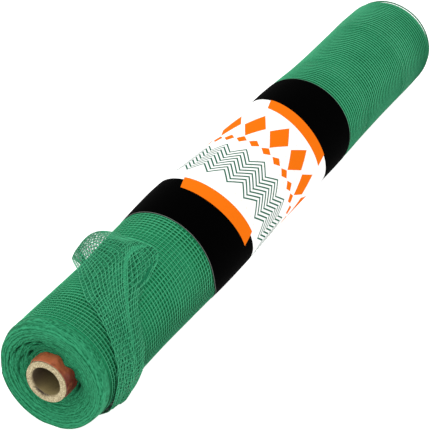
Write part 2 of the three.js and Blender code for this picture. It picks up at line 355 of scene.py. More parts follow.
CLEARANCE = 0.3
NEAR_DISH, NEAR_POWER = 20, 1.4
CORE_POCKETS = ((196, 18, 8), (131, 13, -6), (40, 40, 2))  # angle, spread, depth
WRAP_FRONT = 1 - TUBE_OVERHANG
WRAP_BACK_GAP = 3.4
WRAP_THICKNESS = 1.3
WRAP_RINGS = 20
WRAP_SIDES = 180
WRAP_LUMPS = ((152, 15, 3.6), (108, 12, 2.4), (131, 7, -0.6), (74, 8, 1.0))  # angle, spread, height
WRAP_GAP_ANGLE, WRAP_GAP_HALF, WRAP_GAP_DEPTH = 312, 106, 14


def near_dish_depth(angle):
    """Depth of the near end's dish at the tube."""
    return NEAR_DISH + sum(depth * bump_at(angle, centre, spread) for centre, spread, depth in CORE_POCKETS)


def smoothstep(share):
    share = min(1.0, max(0.0, share))
    return share * share * (3 - 2 * share)


def paper_finish():
    paint = Finish("red_brown_paper")
    place = paint.object_place()
    x, y, z = paint.split(place)
    creases = paint.mottle(place, 90, 3, 0.6)
    grain = paint.mottle(place, 600, 3)
    # Painted light and shade: the paper is painted lighter on its upper side and towards +y, darker where it
    # bulges low on -y, and its crumples are painted lighter on their high parts and darker in their creases.
    lit = (z * 0.75 + y * 0.65).ease(0.048, 0.098)
    colour = paint.mix(lit, (0.115, 0.009, 0.004), (0.40, 0.095, 0.032))
    colour = paint.mix(creases.ease(0.45, 0.7) * 0.4, colour, (0.46, 0.13, 0.055))
    colour = paint.mix(creases.ease(0.46, 0.3) * 0.5, colour, (0.10, 0.012, 0.006))
    crumpled = paint.bump(creases + grain * 0.2, 0.0012, 0.5)
    return paint.surface(colour, roughness=grain * 0.2 + 0.42, normal=crumpled)


def wrap_edge(angle):
    """How far the wrap's torn edge lies back from its front: little on the side and top, much below."""
    away = abs((angle - WRAP_GAP_ANGLE + 540) % 360 - 180)
    return 0.9 * (1 + ripple(angle, 3, 0, 11)) + WRAP_GAP_DEPTH * smoothstep((WRAP_GAP_HALF - away) / 16)


def wrap_rings():
    """Rings over the wrap's outside from its torn front to its back, and two inside, against the tube."""
    inner = TUBE_RADIUS + CLEARANCE
    angles = [360 * j / WRAP_SIDES for j in range(WRAP_SIDES)]
    rings = []
    for k in range(WRAP_RINGS):
        share = k / (WRAP_RINGS - 1)
        swelling = smoothstep(share / 0.6)
        ring = []
        for a in angles:
            end = near_dish_depth(a) - WRAP_BACK_GAP
            ragged = wrap_edge(a) * (1 - share)
            lumps = sum(height * bump_at(a, angle, spread) for angle, spread, height in WRAP_LUMPS)
            around, along = a * 0.7, share * 26
            crumple = 0.55 * ripple(around, along, 5, 7) + 0.25 * ripple(around, along, 9, 3)
            radius = inner + WRAP_THICKNESS + (lumps + crumple * min(1, share * 4)) * swelling
            ring.append(tube_point(WRAP_FRONT + ragged + (end - WRAP_FRONT) * share, a, radius))
        rings.append(ring)
    rings.append([tube_point(near_dish_depth(a) - WRAP_BACK_GAP, a, inner) for a in angles])
    rings.append([tube_point(WRAP_FRONT + wrap_edge(a), a, inner) for a in angles])
    return rings


core_wrap = closed_rings("paper_wrap", wrap_rings(), paper_finish())
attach(core_wrap, "root")
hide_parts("core_wrap")


# The wound net
# About a hundred turns of knitted green net, folded double and wound tight. They show as a grid
# over darker grids on the side, and as fine spiral edges on the two dished ends, slack above the tube.

FLAT_DEPTH = 1.5
SECTIONS = (  # distance from the net's near end, radius
    (0, 93), (5, 96.5), (15, 98.5), (40, 97), (205, 97), (335, 99.5), (465, 101.5), (650, 97.5),
    (840, 97), (1035, 94), (1205, 94), (1280, 93), (1290, 92), (1295, 90),
)
RIDGES_FROM, RIDGES_TO, RIDGE_PITCH, RIDGE_DEPTH = 24, 96, 7.2, 1.8
RIDGE_ANGLE, RIDGE_SPREAD = 150, 75
NET_LAP_ANGLE, NET_LAP_HEIGHT = 350, 1.6
SLEEVE_START, SLEEVE_END, SLEEVE_THICKNESS = 358, 906, 0.8
BODY_SIDES = 192
BODY_BELOW, BODY_LOWEST = 1.0, 0.4
NEAR_ROUNDING = [0, 1.2, 2.6, 5, 8, 11, 15, 19.5]
FAR_ROUNDING = [1280, 1284, 1287.5, 1290, 1292.5, 1294, NET_LENGTH]
NEAR_RINGS, FAR_RINGS = 72, 40
FAR_DISH = 14
FACE_RADIUS, FACE_WIDTH = 96, 58
PATTERN_AXIS, PATTERN_RADIUS, SPIRAL_AXIS = 0.0955, 0.097, 0.0935  # in metres, as materials read them


def section_radius(at):
    """Mean radius of the wound net at a distance from its near end, eased between the rows of SECTIONS."""
    for (start, first), (end, last) in zip(SECTIONS, SECTIONS[1:]):
        if at <= end or end == NET_LENGTH:
            return first + (last - first) * smoothstep((at - start) / (end - start))


def net_radius(at, angle):
    """Radius of the wound net, with its slack edge's ridges, its last turn's lap and a slow swell."""
    ridges = 0.0
    if RIDGES_FROM < at < RIDGES_TO:
        deep = 0.35 + 0.65 * bump_at(angle, RIDGE_ANGLE, RIDGE_SPREAD)
        ridges = RIDGE_DEPTH * deep * (0.5 - 0.5 * math.cos(2 * math.pi * (at - RIDGES_FROM) / RIDGE_PITCH))
    lap = NET_LAP_HEIGHT * ((angle - NET_LAP_ANGLE) % 360 / 360 - 0.5)
    inside = min(1, at / 60, (NET_LENGTH - at) / 60)
    swell = 0.9 * math.sin(2 * math.pi * at / 430 + 2 * math.radians(angle))
    return section_radius(at) + lap + swell * inside - ridges


def net_point(at, angle, off, lowest=0.0):
    """A point that far off the wound net, and no lower than lowest, in metres."""
    turn = math.radians(angle)
    radius = net_radius(at, angle) + off
    height = section_radius(at) - FLAT_DEPTH + radius * math.sin(turn)
    return ((at - NET_LENGTH / 2) * MM, radius * math.cos(turn) * MM, max(height, lowest) * MM)


def steps(start, end, longest):
    """Even places from the start up to the end, without the end itself."""
    count = math.ceil((end - start) / longest)
    return [start + (end - start) * k / count for k in range(count)]


def wound_finish():
    paint = Finish("wound_net")
    x, y, z = paint.split(paint.object_place())
    end, slit, groove_shade = (paint.attribute(name) for name in ("end_face", "slit", "groove_shade"))
    around = (z - PATTERN_AXIS).maths("ARCTAN2", y) * PATTERN_RADIUS
    drift = paint.mottle(paint.object_place(), 9, 2)
    under_rings = (x + drift * 0.004).lines(0.0076, 0.0024)
    under_lines = (around + drift * 0.010 + x * 0.03).lines(0.0083, 0.0022)
    deep_rings = (x * 1.03 + drift * 0.006 + 0.003).lines(0.0070, 0.0026)
    deep_lines = (around - drift * 0.012 - x * 0.05).lines(0.0079, 0.0026)
    # Painted shade: the layers under the outer threads are painted darker the deeper they lie, with the gaps
    # between threads darkest, and the far part's body is painted dark for the shade between its threads.
    dark, mid, light = (0.0008, 0.080, 0.024), (0.007, 0.165, 0.064), (0.018, 0.240, 0.105)
    grid = paint.mix(deep_rings.larger(deep_lines) * 0.55, dark, mid)
    grid = paint.mix(under_rings.larger(under_lines) * 0.75, grid, light)
    far_net = paint.mix(drift.ease(0.35, 0.65), (0.001, 0.095, 0.032), (0.004, 0.125, 0.048))
    grid = paint.mix(x.ease(0.15, 0.25), grid, far_net)
    across = (y * y + (z - SPIRAL_AXIS) * (z - SPIRAL_AXIS)).maths("SQRT")
    wander = paint.mottle(paint.join(around * 2, across * 6, x), 24, 3)
    spiral = (across + around * 0.006 + wander * 0.005).lines(0.0044, 0.0022)
    fibres = paint.mottle(paint.join(around * 0.6, across * 4.2, x * 2), 220, 5, 0.65)
    edges = paint.mix(fibres.ease(0.36, 0.64), (0.001, 0.075, 0.026), (0.029, 0.255, 0.119))
    edges = paint.mix(spiral * (0.26 + across.ease(0.062, 0.090) * 0.26), edges, (0.036, 0.285, 0.138))
    # Painted shade in the gaps between turns on the dished ends, heavier towards +y.
    gaps = (across + around * 0.004 + wander * 0.008).lines(0.0068, 0.0019)
    edges = paint.mix(gaps * (0.26 + y.ease(-0.02, 0.06) * 0.36), edges, (0.0006, 0.055, 0.017))
    dashes = 1 - (around + drift * 0.004).lines(0.0166, 0.0050) * 0.55
    # Painted shade in the grooves between the ridges beside the slack end, broken into dashes.
    grid = paint.mix(groove_shade * dashes, grid, (0.0004, 0.045, 0.012))
    # Painted shade: the side's grid is painted darker low down, towards the floor.
    grid = paint.mix(z.ease(0.150, 0.060) * 0.95, grid, (0.0003, 0.045, 0.012))
    # Painted shade in the near end's slits, gaps and pocket, from the slit mark.
    edges = paint.mix(slit, edges, (0.0005, 0.030, 0.009))
    height = paint.node(
        "Mix", {"data_type": "FLOAT"}, {0: end, 2: under_rings.larger(under_lines), 3: spiral * 0.4 + fibres},
    )
    colour, relief = paint.mix(end, grid, edges), paint.bump(height, 0.0010, 0.6)
    return paint.surface(colour, roughness=0.75, specular_ior_level=0.06, normal=relief)


FACE_SLITS = (  # angle, radius, half length, half width
    (69, 63, 6, 2.0), (60, 58, 5, 1.6), (31, 52, 9, 1.9), (28, 74, 13, 1.0), (48, 68, 8, 0.9),
    (14, 62, 6, 1.1), (84, 54, 7, 1.1), (8, 82, 12, 0.8), (350, 66, 9, 0.8), (100, 70, 9, 0.7),
)


def near_face_depth(share, angle):
    """How far the near end lies in from its rim, and how much painted shade lies there in the slits and gaps
    between its turns and in the pocket by the tube.
    """
    fade = math.sin(share * math.pi)
    radius = FACE_RADIUS - FACE_WIDTH * share
    y, z = math.cos(math.radians(angle)), math.sin(math.radians(angle))
    tangle = ripple(radius * y, radius * z, 77, 8)
    slit = 0.0
    for centre, middle, length, width in FACE_SLITS:
        around = math.radians((angle - centre + 540) % 360 - 180) * radius
        aside = radius - middle + 2.2 * tangle + around * 0.10
        slit += math.exp(-((around / length) ** 2) - (aside / width) ** 2)
    wander = ripple(y * 40, z * 40, share * 25, 16)
    coarse = 0.7 * math.sin(2 * math.pi * (share * 2 + angle / 360)) * fade
    fine = 0.35 * math.sin(2 * math.pi * (share * 11 + angle / 360 + 0.22 * wander)) * fade
    slack = bump_at(angle, 45, 36) * math.exp(-(((share - 0.60) / 0.22) ** 2))
    gape = max(0.0, math.sin(2 * math.pi * (share * 8.5 + angle / 360 + 0.8 * wander + 0.5 * tangle))) ** 3
    below = bump_at(angle, 198, 13) * math.exp(-(((share - 0.91) / 0.05) ** 2))
    hug = 2.6 * smoothstep((share - 0.90) / 0.10) * (1 - bump_at(angle, 198, 26))
    uneven = (1.6 * slack + 0.3) * tangle * fade
    dish = near_dish_depth(angle) * share**NEAR_POWER + 2.0 * slack - hug
    waves = coarse + fine + uneven + 1.6 * slack * gape
    depth = dish + waves + 6 * slit + 6 * below
    return depth, min(1.0, slack * gape * 0.35 + slit * 1.2 + below * 1.2)


def wound_rings():
    """Rings along the wound net from its near rim, in over the far end and out over the near end."""
    places = NEAR_ROUNDING + steps(RIDGES_FROM, RIDGES_TO, RIDGE_PITCH / 4)
    places += steps(RIDGES_TO, SLEEVE_START, 7) + steps(SLEEVE_START, SLEEVE_END, 34)
    places += steps(SLEEVE_END, FAR_ROUNDING[0], 7) + FAR_ROUNDING
    angles = [360 * j / BODY_SIDES for j in range(BODY_SIDES)]
    rings, end_face, slit, groove_shade = [], [], [], []
    for at in places:
        wave = 0.5 - 0.5 * math.cos(2 * math.pi * (at - RIDGES_FROM) / RIDGE_PITCH)
        within = RIDGES_FROM + 4 < at < RIDGES_TO
        dip = wave * smoothstep((at - RIDGES_FROM) / 16) if within else 0.0
        # The groove mark is painted shade for the grooves between the ridges.
        groove_shade += [0.9 * dip * (0.25 + 0.75 * bump_at(a, RIDGE_ANGLE, RIDGE_SPREAD)) for a in angles]
        under_sleeve = SLEEVE_START - 1 < at < SLEEVE_END + 1
        low = SLEEVE_THICKNESS + CLEARANCE if under_sleeve else BODY_LOWEST
        ring = [net_point(at, a, -BODY_BELOW + 0.35 * ripple(at, a * 1.7, 0, 45), low) for a in angles]
        rings.append(ring)
        end_face += [smoothstep((32 - at) / 14) + smoothstep((at - 1284) / 9)] * BODY_SIDES
        slit += [0.0] * BODY_SIDES
    rim_near, rim_far = rings[0], rings[-1]
    bore = [tube_point(0, a, TUBE_RADIUS + CLEARANCE) for a in angles]
    far = []
    for k in range(1, FAR_RINGS + 1):
        share = k / FAR_RINGS
        ring = []
        for a, rim, inner in zip(angles, rim_far, bore):
            turn = math.radians(a)
            wander = ripple(math.cos(turn) * 40, math.sin(turn) * 40, share * 25 + 90, 16)
            spiral = math.sin(2 * math.pi * (share * 9 + a / 360 + 0.3 * wander)) * math.sin(share * math.pi)
            depth = FAR_DISH * share**NEAR_POWER + 0.7 * spiral
            y, z = (rim[i] + (inner[i] - rim[i]) * share for i in (1, 2))
            ring.append(((NET_LENGTH / 2 - depth) * MM, y, z))
        far.append(ring)
    near, near_slit = [], []
    for k in range(1, NEAR_RINGS + 1):
        share = k / NEAR_RINGS
        ring, dark = [], []
        for a, rim, inner in zip(angles, rim_near, bore):
            depth, gape = near_face_depth(share, a)
            y, z = (rim[i] + (inner[i] - rim[i]) * share for i in (1, 2))
            ring.append(((depth - NET_LENGTH / 2) * MM, y, z))
            dark.append(gape)
        near.append(ring)
        near_slit.append(dark)
    rings += far + near[::-1]
    end_face += [1.0] * BODY_SIDES * (FAR_RINGS + NEAR_RINGS)
    slit += [0.0] * BODY_SIDES * FAR_RINGS + [dark for row in near_slit[::-1] for dark in row]
    groove_shade += [0.0] * BODY_SIDES * (FAR_RINGS + NEAR_RINGS)
    return rings, {"end_face": end_face, "slit": slit, "groove_shade": groove_shade}


rings, marks = wound_rings()
wound_net = closed_rings("wound_net", rings, wound_finish(), marks)
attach(wound_net, "root")
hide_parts("net_roll")


# Threads of the outer turn
# The outer turn is the only one whose threads stand free: round threads and lengthwise threads,
# knitted together a quarter inch apart. Each bare part of the roll, beside the sleeve, has its own,
# and beyond the far end the net's edge cord stands out a little way.

THREAD_PITCH, THREAD_WIDTH = 7.2, 1.3
ROUND_OFF, RIB_OFF = -0.15, -0.5
RIB_WIDTH, FAR_RIB_WIDTH = 0.8, 0.5
FAR_THREAD_WIDTH, FAR_ROUND_OFF = 2.8, -0.7
THREAD_COUNT = 74
THREAD_SIDES = 120
THREADS_START, FAR_START, FAR_END = RIDGES_FROM + THREAD_PITCH, SLEEVE_END + 2, 1291
FAR_RIM_SHARE = 0.17
FAR_SELVEDGE, SELVEDGE_RADIUS, SELVEDGE_HEIGHT, SELVEDGE_WIDTH = 1302, 88.2, 90.6, 3.2
SLEEVE_NEAR_EDGE = (  # angle, distance from the net's near end
    (0, 367), (45, 364), (90, 358), (160, 358), (188, 366), (213, 390), (245, 398), (300, 390), (360, 367),
)


def thread_finish(name, in_shade):
    """The thread's green; in_shade gives how far the thread lies in shade at a point's coordinates."""
    paint = Finish(name)
    place = paint.object_place()
    twist = paint.mottle(place, 420, 2)
    fade = paint.mottle(place, 14, 2)
    colour = paint.mix(twist, (0.034, 0.305, 0.142), (0.092, 0.480, 0.252))
    colour = paint.mix(fade.ease(0.35, 0.7) * 0.4, colour, (0.026, 0.275, 0.126))
    colour = paint.mix(in_shade(*paint.split(place)), colour, (0.006, 0.115, 0.050))
    return paint.surface(colour, roughness=0.6, specular_ior_level=0.12)


def thread_tree():
    """Turns guide lines into threads: each line becomes a smooth four-sided thread of the given width."""
    tree = bpy.data.node_groups.new("threads", "GeometryNodeTree")
    for name, kind in (("Guide lines", "Geometry"), ("Thread width", "Float"), ("Finish", "Material")):
        tree.interface.new_socket(name, in_out="INPUT", socket_type="NodeSocket" + kind)
    tree.interface.new_socket("Threads", in_out="OUTPUT", socket_type="NodeSocketGeometry")
    given, result = tree.nodes.new("NodeGroupInput"), tree.nodes.new("NodeGroupOutput")
    lines = tree.nodes.new("GeometryNodeMeshToCurve")
    profile = tree.nodes.new("GeometryNodeCurvePrimitiveCircle")
    profile.inputs["Resolution"].default_value = 4
    half = tree.nodes.new("ShaderNodeMath")
    half.operation = "MULTIPLY"
    half.inputs[1].default_value = 0.5
    threads = tree.nodes.new("GeometryNodeCurveToMesh")
    threads.inputs["Fill Caps"].default_value = True
    smooth = tree.nodes.new("GeometryNodeSetShadeSmooth")
    whole = tree.nodes.new("GeometryNodeRealizeInstances")
    coloured = tree.nodes.new("GeometryNodeSetMaterial")
    for source, target in (
        (given.outputs["Guide lines"], lines.inputs["Mesh"]),
        (given.outputs["Thread width"], half.inputs[0]),
        (half.outputs[0], profile.inputs["Radius"]),
        (lines.outputs["Curve"], threads.inputs["Curve"]),
        (profile.outputs["Curve"], threads.inputs["Profile Curve"]),
        (threads.outputs["Mesh"], smooth.inputs["Geometry"]),
        (smooth.outputs["Geometry"], whole.inputs["Geometry"]),
        (whole.outputs["Geometry"], coloured.inputs["Geometry"]),
        (given.outputs["Finish"], coloured.inputs["Material"]),
        (coloured.outputs["Geometry"], result.inputs["Threads"]),
    ):
        tree.links.new(source, target)
    return tree


def far_shade(x, y, z):
    """The far part's threads are shaded low down, behind, low at the end and a little on top."""
    low, behind = z.ease(0.150, 0.030) * 0.6, y.ease(0.030, 0.090) * 0.3
    end, top = x.ease(0.54, 0.645) * z.ease(0.185, 0.110) * 0.35, z.ease(0.150, 0.185) * 0.14
    return low + behind + end + top + 0.16


THREAD_TREE = thread_tree()
THREAD_FINISH = thread_finish("green_thread", lambda x, y, z: z.ease(0.130, 0.040) * 0.62)
FAR_FINISH = thread_finish("far_thread", far_shade)
SHADED_FINISH = thread_finish("shaded_thread", lambda x, y, z: 0.9)


def threads_along(name, paths, width, finish):
    """One plain mesh of threads, one along each path of points; a path whose flag is true is a ring."""
    corners, edges = [], []
    for points, closed in paths:
        first = len(corners)
        corners += points
        edges += [(first + k, first + k + 1) for k in range(len(points) - 1)]
        if closed:
            edges.append((first + len(points) - 1, first))
    guide = bpy.data.meshes.new(name + "_guide")
    guide.from_pydata(corners, edges, [])
    made = bpy.data.objects.new(name, guide)
    bpy.context.scene.collection.objects.link(made)
    modifier = made.modifiers.new("threads", "NODES")
    modifier.node_group = THREAD_TREE
    named = {item.name: item.identifier for item in THREAD_TREE.interface.items_tree}
    modifier[named["Thread width"]] = width * MM
    modifier[named["Finish"]] = finish
    mesh = bpy.data.meshes.new_from_object(made.evaluated_get(bpy.context.evaluated_depsgraph_get()))
    made.modifiers.clear()
    made.data = mesh
    mesh.name = name
    return made


def curved(rows, place, column):
    """Value of a table's column at a place, on one smooth curve through its rows."""
    k = max(j for j in range(len(rows) - 1) if rows[j][0] <= place or j == 0)
    a, b = rows[k], rows[k + 1]
    before, after = rows[max(k - 1, 0)], rows[min(k + 2, len(rows) - 1)]
    width = b[0] - a[0]
    leaves = (b[column] - before[column]) / (b[0] - before[0]) * width
    arrives = (after[column] - a[column]) / (after[0] - a[0]) * width
    t = (place - a[0]) / width
    return (
        (2 * t**3 - 3 * t**2 + 1) * a[column] + (t**3 - 2 * t**2 + t) * leaves
        + (3 * t**2 - 2 * t**3) * b[column] + (t**3 - t**2) * arrives
    )


def sleeve_near(angle):
    """Where the sleeve's skewed near edge lies, from the net's near end."""
    return curved(SLEEVE_NEAR_EDGE, angle, 1)


def near_end(angle):
    """Where the near part's threads end, just short of the sleeve."""
    return sleeve_near(angle) - 2


def lowest(width):
    """The least height of the middle of a thread that wide, so that it clears the floor."""
    return width / 2 + 0.05


def net_rounds(start, ends, pitch, width, off):
    """Threads round the roll, a pitch apart, as far as the place that ends gives for each angle."""
    angles = [360 * j / THREAD_SIDES for j in range(THREAD_SIDES)]
    last = [ends(a) for a in angles]
    low = lowest(width)
    paths = []
    for k in range(int((max(last) - start) / pitch) + 1):
        at = start + k * pitch
        points = []
        for a, end in zip(angles, last):
            wander = 1.5 * ripple(at, a * 0.8, 40, 60) * math.sin(math.radians(a / 2))
            points.append(net_point(min(end, max(start, at + wander)), a, off, low) if at <= end else None)
        if None in points:
            first = next(j for j in range(THREAD_SIDES) if points[j] and not points[j - 1])
            run = points[first:] + points[:first]
            paths.append((run[:run.index(None)], False))
        else:
            paths.append((points, True))
    return paths


def net_ribs(start, ends, longest):
    """Threads along the roll between the same ends."""
    low = lowest(THREAD_WIDTH)
    paths = []
    for k in range(THREAD_COUNT):
        base = 360 * k / THREAD_COUNT
        end = ends(base)
        paths.append(([
            net_point(at, base + 1.4 * ripple(at, base * 2, 70, 90), RIB_OFF, low)
            for at in steps(start, end, longest) + [end]], False))
    return paths


def on_far_cord(angle, low):
    """A point of the cord at the net's far edge, which stands a little way out from the roll's far end."""
    turn = math.radians(angle)
    radius = SELVEDGE_RADIUS + 0.5 * ripple(angle, 8, 0, 25)
    height = max(SELVEDGE_HEIGHT + radius * math.sin(turn), low)
    return ((FAR_SELVEDGE - NET_LENGTH / 2) * MM, radius * math.cos(turn) * MM, height * MM)


def far_crossings(width):
    """The lengthwise threads on their way out from the roll's far end to the cord."""
    low = lowest(width)
    angles = [360 * k / THREAD_COUNT for k in range(THREAD_COUNT)]
    return [([
        net_point(FAR_END - 1, a, RIB_OFF, low), net_point(NET_LENGTH, a, 0.2, low), on_far_cord(a, low),
    ], False) for a in angles]


def far_rim(width):
    """The last round thread, which has slid a little way out from the roll's far end towards the cord."""
    low = lowest(width)
    points = []
    for j in range(THREAD_SIDES):
        a = 360 * j / THREAD_SIDES
        on_roll, on_cord = net_point(NET_LENGTH, a, -0.4, low), on_far_cord(a, low)
        points.append([near + (far - near) * FAR_RIM_SHARE for near, far in zip(on_roll, on_cord)])
    return [(points, True)]


near_rounds = net_rounds(THREADS_START, near_end, THREAD_PITCH, THREAD_WIDTH, ROUND_OFF)
near_ribs = net_ribs(THREADS_START, near_end, THREAD_PITCH / 2)
far_rounds = net_rounds(FAR_START, lambda a: FAR_END, THREAD_PITCH, FAR_THREAD_WIDTH, FAR_ROUND_OFF)
far_ribs = net_ribs(FAR_START, lambda a: FAR_END, THREAD_PITCH)
far_cord = [on_far_cord(360 * j / THREAD_SIDES, lowest(SELVEDGE_WIDTH)) for j in range(THREAD_SIDES)]
for name, paths, width, finish in (
    ("near_rounds", near_rounds, THREAD_WIDTH, THREAD_FINISH),
    ("near_ribs", near_ribs, RIB_WIDTH, THREAD_FINISH),
    ("far_rounds", far_rounds + far_rim(FAR_THREAD_WIDTH), FAR_THREAD_WIDTH, FAR_FINISH),
    ("far_ribs", far_ribs + far_crossings(FAR_RIB_WIDTH), FAR_RIB_WIDTH, FAR_FINISH),
    ("far_selvedge", [(far_cord, True)], SELVEDGE_WIDTH, SHADED_FINISH),
):
    threads = threads_along(name, paths, width, finish)
    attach(threads, "root")
    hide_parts("net_roll")


# Printed sleeve
# A printed paper sleeve goes once round the middle of the roll and holds it. Its print is a plain
# design: black ends, orange strips, and zigzags, lozenges and faint dots on white.

SLEEVE_SIDES = 180
SLEEVE_LAP = (298, 324, 0.8)  # first angle, last angle, step


def print_finish():
    paint = Finish("printed_sleeve")
    along, turn, _ = paint.split(paint.node("UVMap", {"uv_map": "print"}))
    around = turn * 0.1

    def arch(vertex, curve, middle):
        return vertex + curve * (1 - (turn - math.radians(middle)).maths("COSINE"))

    near_edge = arch(0.470, 0.036, 108)
    far_edge = arch(0.787, 0.038, 135)
    black = along.maths("LESS_THAN", near_edge).larger(along.maths("GREATER_THAN", far_edge))

    def strip(edge, low, high, first, last):
        past, slanted = along - edge, turn + (along - edge) * 3.5
        inside = past.maths("GREATER_THAN", low) * past.maths("LESS_THAN", high)
        begun = slanted.maths("GREATER_THAN", math.radians(first))
        return inside * begun * slanted.maths("LESS_THAN", math.radians(last))

    strips = strip(near_edge, -0.026, 0.008, 78, 172).larger(strip(far_edge, -0.028, 0.002, 78, 170))

    def lozenges(middle, half, pitch, offset):
        away = (along - middle).maths("ABSOLUTE") / half
        beside = (around + offset).maths("PINGPONG", pitch / 2) / (pitch * 0.42)
        return (away + beside).maths("LESS_THAN", 1.0)

    large = lozenges(0.705, 0.040, 0.052, 0.0)
    small = lozenges(0.652, 0.011, 0.026, 0.0)
    orange = strips.larger(large).larger(small)
    zigzag = along - around.maths("PINGPONG", 0.020) * 1.3
    green = zigzag.lines(0.0120, 0.0050)
    green = green * zigzag.maths("GREATER_THAN", 0.512) * zigzag.maths("LESS_THAN", 0.602)
    dot_along, dot_around = along.maths("PINGPONG", 0.011), around.maths("PINGPONG", 0.008)
    dots = (dot_along * dot_along + dot_around * dot_around).maths("LESS_THAN", 0.0000045)
    white = paint.mix(dots * 0.3, (0.80, 0.80, 0.79), (0.55, 0.45, 0.30))
    colour = paint.mix(green, white, (0.008, 0.095, 0.055))
    colour = paint.mix(black, colour, (0.0003, 0.0003, 0.0003))
    colour = paint.mix(orange, colour, (0.70, 0.135, 0.004))
    colour = paint.mix(paint.attribute("paper_edge").ease(0.3, 0.9) * 0.8, colour, (0.20, 0.22, 0.20))
    wear = paint.mottle(paint.object_place(), 30, 3)
    buckling = paint.bump(paint.mottle(paint.object_place(), 22, 2), 0.0012, 0.25)
    return paint.surface(colour, roughness=wear * 0.1 + 0.7, specular_ior_level=0.004, normal=buckling)


def sleeve_place(share, angle):
    """A place between the sleeve's near edge at share 0 and its far edge at 1."""
    near = sleeve_near(angle)
    return near + (SLEEVE_END - near) * share


def sleeve_rings():
    shares = [0, 0.0025] + steps(0.006, 0.994, 0.017) + [0.994, 0.9975, 1]
    angles = [360 * j / SLEEVE_SIDES for j in range(SLEEVE_SIDES)]
    first, last, step = SLEEVE_LAP

    def ring(share, off, lowest):
        points = []
        for a in angles:
            at = sleeve_place(share, a)
            lap = step if first < a < last and off > 1 else 0
            loose = 0.22 * min(1, share * 20, (1 - share) * 20) * (1 + ripple(at, a * 2.2, 11, 60))
            points.append(net_point(at, a, off + lap + loose, lowest))
        return points

    outer = [ring(share, CLEARANCE + SLEEVE_THICKNESS, 0.0) for share in shares]
    inner = [ring(share, CLEARANCE, SLEEVE_THICKNESS) for share in shares]
    return outer, inner, shares, angles


outer, inner, shares, angles = sleeve_rings()
ring_shares = shares + shares[::-1]
paper_edge = [1.0 if share in (0, 1) else 0.0 for share in ring_shares for _ in angles]
sleeve = closed_rings("printed_sleeve", outer + inner[::-1], print_finish(), {"paper_edge": paper_edge})
uv = sleeve.data.uv_layers.new(name="print")
for polygon in sleeve.data.polygons:
    for loop in polygon.loop_indices:
        corner = sleeve.data.loops[loop].vertex_index
        k, j = divmod(corner, SLEEVE_SIDES)
        over_the_top = polygon.index % SLEEVE_SIDES == SLEEVE_SIDES - 1 and j == 0
        turn = math.radians(360 if over_the_top else angles[j])
        uv.data[loop].uv = (sleeve_place(ring_shares[k], angles[j]) * MM, turn)
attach(sleeve, "root")
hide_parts("label_band")


# Slack end of the net
# Near the end the last turn has come loose: the net is pulled askew towards the rim, stands off the
# roll in a see-through loop behind, and gathers in a long soft crease. Its selvedges are corded.

SLACK = (  # angle, near edge, crease, far edge, lift of the near edge, lift of the crease, pleats
    (0, 264, 284, 317, 0, 0, 0), (14, 261, 280, 317, 4, 8, 0), (28, 238, 272, 316, 12, 18, 0.5),
    (36, 221, 270, 315, 14.5, 22, 0.5), (42, 209, 269, 314, 15.5, 23, 0.5), (54, 184, 263, 301, 11, 16, 1),
    (66, 161, 258, 287, 4.8, 9, 1), (76, 138, 256, 277, 3, 6, 1), (88, 114, 250, 275, 2, 5.5, 1),
    (94, 102, 234, 275, 2, 5, 1), (100, 93, 211, 275, 2, 5, 1.2),
    (112, 83, 172, 276, 2.5, 5.5, 1.5), (118, 78, 157, 267, 2.5, 5.5, 1.5),
    (122, 75, 147, 251, 2.5, 5.5, 1.5), (125, 73, 141, 226, 3, 5.5, 1.5),
    (128, 70, 135, 200, 3, 6, 2), (133, 66, 125, 179, 3.3, 7, 2),
    (138, 62, 116, 167, 3.5, 8, 2), (150, 53, 102, 150, 4.5, 8, 2), (165, 45, 90, 142, 5, 8.5, 2),
    (180, 37, 81, 141, 5, 9, 2), (196, 34, 77, 143, 5, 10, 2), (210, 36, 76, 146, 5, 10.5, 2),
    (223, 41, 83, 148, 4, 8, 1.5), (236, 42, 83, 146, 1, 2, 0),
)
SLACK_SEAT, SLACK_LEAST = 1.4, 0.8
SLACK_CREASE = 0.62
SLACK_PLEATS = 3
SLACK_FLAT = (0.190, 0.490)
SLACK_WIDTH = 0.160
SLACK_ROWS, SLACK_COLUMNS = 200, 56
SLACK_PITCH, SLACK_THREAD_WIDTH = 8.0, 1.15
SLACK_ROUND_STEPS, SLACK_RIB_STEPS = 150, 30
SLACK_MERGES = 0.545
RUMPLE_AROUND, RUMPLE_ACROSS = 490, 170
LINE_RADIUS, LINE_AXIS = 98, 96
CREASE_LINE = (  # distance from the near end, angle, half width of the bunched threads there
    (272, 101, 8), (253, 96.5, 8), (230, 97, 7), (211, 100, 6), (182, 108.5, 5.2), (151, 121, 4.6),
    (125, 133, 4.2), (108, 143, 3.8), (95, 158, 3.4), (85, 175, 2.8), (79, 195, 2.0), (77, 212, 1.0),
)
# Two more lines, given as the crease is: a valley in the corner, painted with shade, and a raised band beside
# it.
VALLEY_LINE = ((248, 118.6, 3), (238, 120, 4.4), (219, 122.6, 5), (203, 124, 4.6), (184, 124.8, 3))
BAND_LINE = ((268, 117, 2.0), (250, 122, 3.4), (232, 124.8, 3.6), (214, 127, 3.4), (199, 128, 2.6))


def near_line(at, angle, line):
    """1 on a line over the roll, falling to 0 at the half width that the line has there."""
    best = 0.0
    for (from_at, from_angle, from_half), (to_at, to_angle, to_half) in zip(line, line[1:]):
        x, y = at - from_at, math.radians(angle - from_angle) * LINE_RADIUS
        along, across = to_at - from_at, math.radians(to_angle - from_angle) * LINE_RADIUS
        share = min(1.0, max(0.0, (x * along + y * across) / (along * along + across * across)))
        away = math.hypot(x - along * share, y - across * share)
        best = max(best, 1 - away / (from_half + (to_half - from_half) * share))
    return smoothstep(best)


